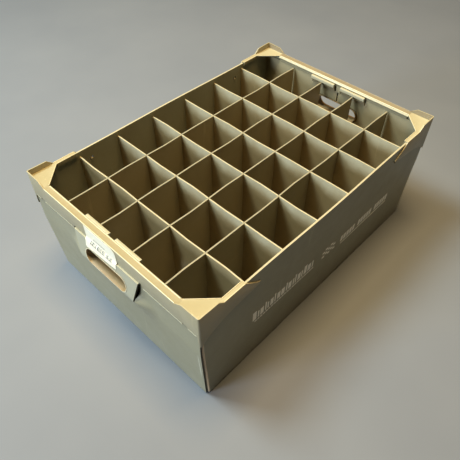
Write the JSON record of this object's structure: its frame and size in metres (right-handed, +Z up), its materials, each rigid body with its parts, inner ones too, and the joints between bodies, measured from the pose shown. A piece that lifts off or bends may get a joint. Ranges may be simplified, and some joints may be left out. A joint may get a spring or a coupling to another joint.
{
  "type": "glassware storage crate",
  "caption": "Open-topped fluted plastic storage crate with moulded stacking end frames, slotted handholes and an interlocking lift-out grid of dividers.",
  "frame": {"origin": "centre of the crate's footprint, on the surface that it stands on", "axes": "+X along the length, the labelled end at -X; +Y across the width; +Z up, out of the open top"},
  "size_m": [0.6198, 0.4, 0.237],
  "materials": {
    "fluted_sheet": "extruded twin-wall polypropylene sheet, stone grey-green, satin, faint fluting",
    "divider_sheet": "thinner twin-wall polypropylene sheet, stone grey-green, cut edges paler",
    "moulding": "injection-moulded polypropylene, stone grey-green, fine satin grain",
    "label_paper": "white coated paper label, plain marks only"
  },
  "bodies": {
    "crate": {"base_panel": "fluted_sheet", "front_wall": "fluted_sheet", "rear_wall": "fluted_sheet", "flap_front_left": "fluted_sheet", "flap_front_right": "fluted_sheet", "flap_rear_left": "fluted_sheet", "flap_rear_right": "fluted_sheet", "left_end_panel": "fluted_sheet", "right_end_panel": "fluted_sheet", "left_inner_panel": "fluted_sheet", "right_inner_panel": "fluted_sheet", "left_end_frame": "moulding", "right_end_frame": "moulding", "left_hand_grip": "moulding", "right_hand_grip": "moulding", "label": "label_paper"},
    "short_divider_set": {"short_divider_1": "divider_sheet", "short_divider_2": "divider_sheet", "short_divider_3": "divider_sheet", "short_divider_4": "divider_sheet", "short_divider_5": "divider_sheet", "short_divider_6": "divider_sheet"},
    "long_divider_1": {"long_divider_1": "divider_sheet"},
    "long_divider_2": {"long_divider_2": "divider_sheet"},
    "long_divider_3": {"long_divider_3": "divider_sheet"},
    "long_divider_4": {"long_divider_4": "divider_sheet"}
  },
  "joints": [
    {"name": "divider_grid_lift", "type": "slide", "parent": "crate", "child": "short_divider_set", "axis": [0, 0, 1], "range_m": [0, 0.24]},
    {"name": "long_divider_1_lift", "type": "slide", "parent": "short_divider_set", "child": "long_divider_1", "axis": [0, 0, 1], "range_m": [0, 0.215]},
    {"name": "long_divider_2_lift", "type": "slide", "parent": "short_divider_set", "child": "long_divider_2", "axis": [0, 0, 1], "range_m": [0, 0.215]},
    {"name": "long_divider_3_lift", "type": "slide", "parent": "short_divider_set", "child": "long_divider_3", "axis": [0, 0, 1], "range_m": [0, 0.215]},
    {"name": "long_divider_4_lift", "type": "slide", "parent": "short_divider_set", "child": "long_divider_4", "axis": [0, 0, 1], "range_m": [0, 0.215]}
  ]
}
